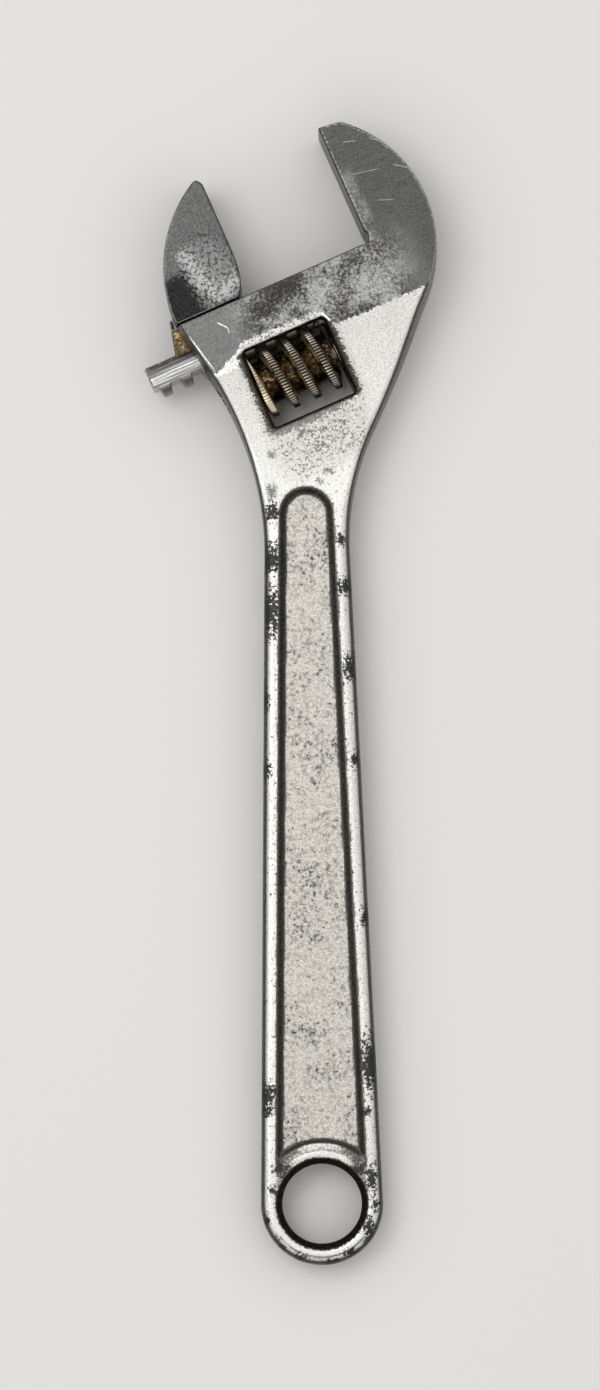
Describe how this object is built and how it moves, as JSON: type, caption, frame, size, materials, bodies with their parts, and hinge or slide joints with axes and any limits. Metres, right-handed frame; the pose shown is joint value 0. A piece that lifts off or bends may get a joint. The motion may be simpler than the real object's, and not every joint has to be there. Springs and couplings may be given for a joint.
{
  "type": "adjustable wrench",
  "caption": "Adjustable wrench: flat forged handle with a hanging hole, angled head with a fixed jaw, and a sliding jaw driven by a knurled worm.",
  "frame": {"origin": "centre of the hanging hole, halfway through the handle's thickness", "axes": "+Y along the handle from the hanging hole to the head, +X to the fixed jaw's side, +Z out of one flat face"},
  "size_m": [0.0659, 0.2541, 0.0158],
  "materials": {
    "plated_steel": "worn satin plating, pitted, with bare dark spots on the rims; ground head left as bare steel",
    "ground_steel": "ground, with a pitted patch",
    "oiled_steel": "dark oily steel with a lighter knurled crest",
    "pin_steel": "dark turned steel",
    "spring_steel": "dark drawn wire"
  },
  "bodies": {
    "wrench": {"handle_body": "plated_steel", "worm_pin": "pin_steel", "pin_spring": "spring_steel"},
    "jaw": {"sliding_jaw": "ground_steel"},
    "worm": {"worm_knurl": "oiled_steel"}
  },
  "joints": [
    {"name": "jaw_slide", "type": "slide", "parent": "wrench", "child": "jaw", "axis": [0.9239, 0.3827, 0], "range_m": [-0.003, 0.02855]},
    {"name": "worm_spin", "type": "hinge", "parent": "wrench", "child": "worm", "pos_m": [-0.00126, 0.18597, 0], "axis": [0.9239, 0.3827, 0], "range_deg": [-2025, 214]}
  ],
  "couplings": [
    {"joint": "worm_spin", "follows": "jaw_slide", "rad_per_m": -1236.8}
  ]
}
